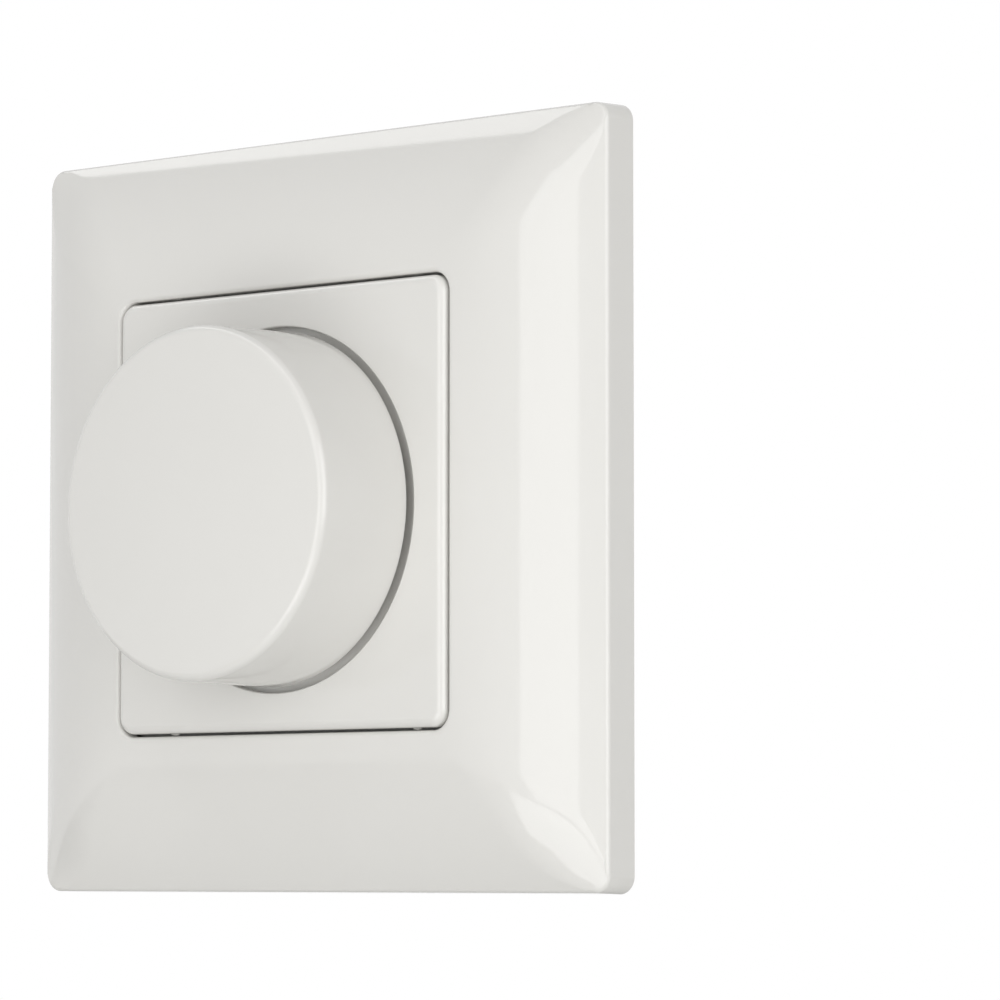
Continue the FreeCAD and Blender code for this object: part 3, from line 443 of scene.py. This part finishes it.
def buildFrame(look):
    mesh = bmesh.new()
    segments, cuts = look["cornerSegments"], look["sideCuts"]
    rimHalf = look["half"] - look["edgeHeight"] * math.tan(math.radians(look["draft"]))
    rear = squareOutline(look["half"], look["corner"], segments, cuts)
    window = squareOutline(look["windowHalf"], look["windowCorner"], segments, cuts)
    hollow = squareOutline(look["half"] - look["wall"], look["innerCorner"], segments, cuts)

    # outwards from the window to the rim
    steps = look["crownSteps"]
    crown = [crownOutline(step / steps, rimHalf, look) for step in range(steps + 1)]
    top = look["depth"] - archDrop(look["windowHalf"] + look["windowRound"], look)
    windowEdge = roundOver(look["windowHalf"], look["windowCorner"], top, -look["windowRound"],
                           look["roundSegments"], segments, cuts)

    def underCrown(part):
        # the inner wall, from the hollow's side at 0 to the window at 1
        places = [first.lerp(second, part) for first, second in zip(hollow, window)]
        drops = [archDrop(max(abs(place.x), abs(place.z)), look, look["wall"]) for place in places]
        return [Vector((place.x, drop - look["depth"], place.z))
                for place, drop in zip(places, drops)]

    steps = look["hollowSteps"]
    inner = [underCrown(step / steps) for step in range(steps - 1, -1, -1)]
    rim = grow(mesh, startRing(mesh, rear), crown[-1])
    ring = grow(mesh, rim, *reversed(crown[:-1]), *reversed(windowEdge[:-1]))
    grow(mesh, ring, lift(window, look["depth"] - look["wall"]), *inner, hollow, rear)
    soften(mesh, rim, look["edgeRound"], look["roundSegments"])
    addRidges(mesh, look)
    newPiece("frameShell", mesh, "frame", "case", "frame", look["smoothAngle"])


plateLook = {
    "half": 0.02485,
    "corner": 0.002,
    "front": 0.01075,
    "rear": 0.0076,
    "wall": 0.0016,
    "skirt": 0.0012,
    "edgeRound": 0.0010,
    "edgeSegments": 8,
    "wellRadius": 0.0206,
    "wellDepth": 0.0013,
    "wellWall": 0.0013,
    "wellRound": 0.0002,
    "wellSegments": 3,
    "holeRadius": 0.0037,
    "cornerSegments": 31,
    "smoothAngle": 30.0,
}


def buildPlate(look):
    mesh = bmesh.new()
    segments = look["cornerSegments"]
    front, rear = look["front"], look["rear"]
    floor = front - look["wellDepth"]
    under = front - look["wall"]
    outer = look["wellRadius"] + look["wellWall"]
    outside = squareOutline(look["half"], look["corner"], segments)
    inside = squareOutline(look["half"] - look["skirt"], look["corner"] - look["skirt"], segments)
    edge = roundOver(look["half"], look["corner"], front, look["edgeRound"], look["edgeSegments"],
                     segments)

    def circle(radius, height):
        return lift(circleOutline(radius, len(outside)), height)

    well = grow(mesh, startRing(mesh, edge[0]), *edge[1:], circle(look["wellRadius"], front))
    grow(mesh, well, circle(look["wellRadius"], floor),
         circle(look["holeRadius"], floor), circle(look["holeRadius"], rear),
         circle(outer, rear), circle(outer, under),
         lift(inside, under), lift(inside, rear), lift(outside, rear), edge[0])
    soften(mesh, well, look["wellRound"], look["wellSegments"])
    newPiece("platePanel", mesh, "centre_plate", "case", "centre_plate", look["smoothAngle"])


knobLook = {
    "radius": 0.020,
    "rear": 0.01105,
    "shoulder": 0.0244,
    "front": 0.0255,
    "draft": 0.0003,
    "shoulderRound": 0.001,
    "shoulderSegments": 9,
    "rimRound": 0.00025,
    "rimSegments": 3,
    "skirtRadius": 0.0185,
    "skirtRear": 0.01005,
    "bore": 0.017,
    "boreDraft": 0.0003,
    "ceiling": 0.0229,
    "hubRadius": 0.005,
    "hubRear": 0.0133,
    "socketRadius": 0.00303,
    "socketFront": 0.02223,
    "ribs": 6,
    "ribThickness": 0.0012,
    "ribHeight": 0.0035,
    "ribSink": 0.00035,
    "domeSteps": 14,
    "turns": 160,
    "smoothAngle": 30.0,
}


def buildKnob(look):
    mesh = bmesh.new()
    edgeRadius = look["radius"] - look["draft"]
    rise = look["front"] - look["shoulder"]
    domeRadius = (edgeRadius ** 2 + rise ** 2) / (2.0 * rise)
    profile = []
    for step in range(look["domeSteps"] + 1):
        radius = edgeRadius * step / look["domeSteps"]
        drop = domeRadius - math.sqrt(domeRadius ** 2 - radius ** 2)
        profile.append((radius, look["front"] - drop))
    profile += [
        (look["radius"], look["rear"]),
        (look["skirtRadius"], look["rear"]),
        (look["skirtRadius"], look["skirtRear"]),
        (look["bore"], look["skirtRear"]),
        (look["bore"] - look["boreDraft"], look["ceiling"]),
        (look["hubRadius"], look["ceiling"]),
        (look["hubRadius"], look["hubRear"]),
        (look["socketRadius"], look["hubRear"]),
        (look["socketRadius"], look["socketFront"]),
        (0.0, look["socketFront"]),
    ]
    points = [mesh.verts.new((radius, -height, 0.0)) for radius, height in profile]
    lines = [mesh.edges.new(pair) for pair in zip(points, points[1:])]
    bmesh.ops.spin(mesh, geom=points + lines, cent=(0.0, 0.0, 0.0), axis=(0.0, 1.0, 0.0),
                   dvec=(0.0, 0.0, 0.0), angle=math.tau, steps=look["turns"], use_merge=True,
                   use_duplicate=False)
    bmesh.ops.remove_doubles(mesh, verts=mesh.verts, dist=meshLook["mergeDistance"])

    def hoop(radius, height):
        near = meshLook["searchDistance"]
        return [vert for vert in mesh.verts if abs(vert.co.y + height) < near
                and abs(math.hypot(vert.co.x, vert.co.z) - radius) < near]

    # the shoulder's round reaches as far as the angle between the dome and the side asks
    lean = math.asin(edgeRadius / domeRadius)
    lean += math.atan(look["draft"] / (look["shoulder"] - look["rear"]))
    reach = look["shoulderRound"] * math.tan((quarterTurn - lean) / 2.0)
    soften(mesh, hoop(edgeRadius, look["shoulder"]), reach, look["shoulderSegments"])
    soften(mesh, hoop(look["radius"], look["rear"]), look["rimRound"], look["rimSegments"])

    # six ribs, from inside the hub's wall to the bore
    low, high = -look["ceiling"] - look["ribSink"], -look["ceiling"] + look["ribHeight"]
    half = look["ribThickness"] / 2.0
    section = [(low, -half), (high, -half), (high, half), (low, half)]
    for rib in range(look["ribs"]):
        addPrism(mesh, section, look["hubRadius"] - half, look["bore"],
                 turned(math.tau * rib / look["ribs"]))
    newPiece("knobCap", mesh, "knob", "handle", "knob", look["smoothAngle"])


buildFrame(frameLook)
buildPlate(plateLook)
buildKnob(knobLook)
print("built the frame, the plate and the knob")


floorLook = {
    "drop": 0.34,
    "size": 3.0,
    "colour": (0.80, 0.80, 0.79),
    "cloud": (4.0, 2.0, 0.5),
    "darkest": 0.97,
    "roughness": 0.6,
}


def buildFloor(look):
    mesh = bmesh.new()
    bmesh.ops.create_grid(mesh, x_segments=1, y_segments=1, size=look["size"] / 2.0,
                          matrix=Matrix.Translation((0.0, 0.0, -look["drop"])))
    finish = Finish("floor_pale")
    tint = finish.blend(finish.noise(*look["cloud"]), look["colour"],
                        darken(look["colour"], look["darkest"]))
    floor = newObject("studioFloor", mesh, finish.set(Base_Color=tint, Roughness=look["roughness"]))


worldLook = {
    "backColour": (1.0, 1.0, 1.0),
    "backStrength": 1.0,
    "lightColour": (1.0, 1.0, 0.995),
    "lightStrength": 0.374,
}


def lightWorld(look):
    # white for what the camera, reflections and clear things see, a softer light for all the rest
    world = bpy.data.worlds.new("studioWorld")
    bpy.context.scene.world = world
    world.use_nodes = True
    nodes, links = world.node_tree.nodes, world.node_tree.links
    nodes.clear()

    def background(colour, strength):
        node = nodes.new("ShaderNodeBackground")
        node.inputs[0].default_value = (*colour, 1.0)
        node.inputs[1].default_value = strength
        return node.outputs[0]

    rays = nodes.new("ShaderNodeLightPath")
    shown = background(look["backColour"], look["backStrength"])
    given = background(look["lightColour"], look["lightStrength"])
    seen = rays.outputs["Is Camera Ray"]
    for kind in ("Is Glossy Ray", "Is Transmission Ray"):
        either = nodes.new("ShaderNodeMath")
        either.operation = "MAXIMUM"
        links.new(seen, either.inputs[0])
        links.new(rays.outputs[kind], either.inputs[1])
        seen = either.outputs[0]
    mixed = nodes.new("ShaderNodeMixShader")
    for index, source in enumerate((seen, given, shown)):
        links.new(source, mixed.inputs[index])
    end = nodes.new("ShaderNodeOutputWorld")
    links.new(mixed.outputs[0], end.inputs[0])


softboxes = {
    # name: azimuth from -Y towards +X, elevation, distance, width, height, power
    "frontBox": (11.0, 2.5, 1.6, 0.76, 1.63, 6.4),
    "topBox": (-34.0, 61.1, 1.6, 2.52, 0.35, 5.6),
    "sideBox": (70.0, 10.0, 1.6, 1.0, 1.2, 9.8),
    "lowBox": (10.0, -32.0, 0.55, 0.5, 0.3, 1.03),
}


def hangSoftbox(name, azimuth, elevation, distance, width, height, power):
    lamp = bpy.data.lights.new(name, "AREA")
    lamp.shape = "RECTANGLE"
    lamp.size = width
    lamp.size_y = height
    lamp.energy = power
    turn, rise = math.radians(azimuth), math.radians(elevation)
    level = math.cos(rise)
    way = Vector((math.sin(turn) * level, -math.cos(turn) * level, math.sin(rise)))
    holder = bpy.data.objects.new(name, lamp)
    holder.location = way * distance
    holder.rotation_euler = (-way).to_track_quat("-Z", "Y").to_euler()
    bpy.context.scene.collection.objects.link(holder)


cameraLook = {
    "place": (0.3757, -0.4136, -0.0402),
    "yaw": 40.38,
    "pitch": 4.29,
    "focal": 4910.9,
    "pictureWidth": 1000.0,
    "sensor": 36.0,
    "nearest": 0.01,
    "farthest": 20.0,
}


def placeCamera(look):
    lens = bpy.data.cameras.new("viewCamera")
    lens.sensor_width = look["sensor"]
    lens.lens = look["focal"] * look["sensor"] / look["pictureWidth"]
    lens.clip_start = look["nearest"]
    lens.clip_end = look["farthest"]
    holder = bpy.data.objects.new("viewCamera", lens)
    holder.location = look["place"]
    tilt = quarterTurn + math.radians(look["pitch"])
    holder.rotation_euler = (tilt, 0.0, math.radians(look["yaw"]))
    bpy.context.scene.collection.objects.link(holder)
    bpy.context.scene.camera = holder


buildFloor(floorLook)
lightWorld(worldLook)
for name, numbers in softboxes.items():
    hangSoftbox(name, *numbers)
placeCamera(cameraLook)
bpy.context.scene.view_settings.view_transform = "Standard"
print("set the floor, the lights and the camera")
